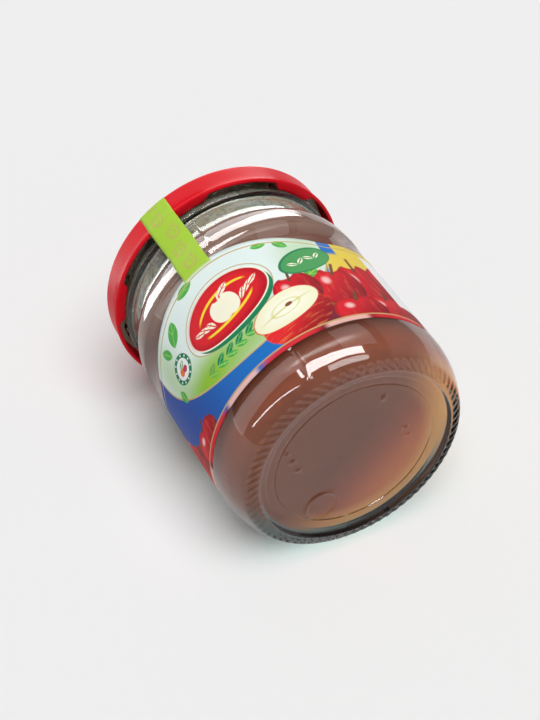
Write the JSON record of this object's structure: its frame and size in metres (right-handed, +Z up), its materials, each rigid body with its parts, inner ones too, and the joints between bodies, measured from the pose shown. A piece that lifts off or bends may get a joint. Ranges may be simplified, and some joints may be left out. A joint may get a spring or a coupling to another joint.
{
  "type": "jar of apple jam",
  "caption": "Shut glass jar of apple jam lying on its side, with a red twist-off lid, a wrap-around paper label and a green seal strip that runs from the label up over the lid.",
  "frame": {"origin": "on the surface the jar lies on, below the middle of its bounding box", "axes": "+Z up, +X along the jar from the lid to the base, +Y to the side of the jar"},
  "size_m": [0.1048, 0.0864, 0.0863],
  "materials": {
    "jar_glass": "clear, glossy",
    "apple_jam": "translucent brown jelly",
    "lid_enamel": "glossy red lacquer on tinplate",
    "label_paper": "printed, satin"
  },
  "bodies": {
    "root": {"jar": "jar_glass", "jam": "apple_jam", "lid": "lid_enamel", "label": "label_paper"}
  },
  "joints": []
}
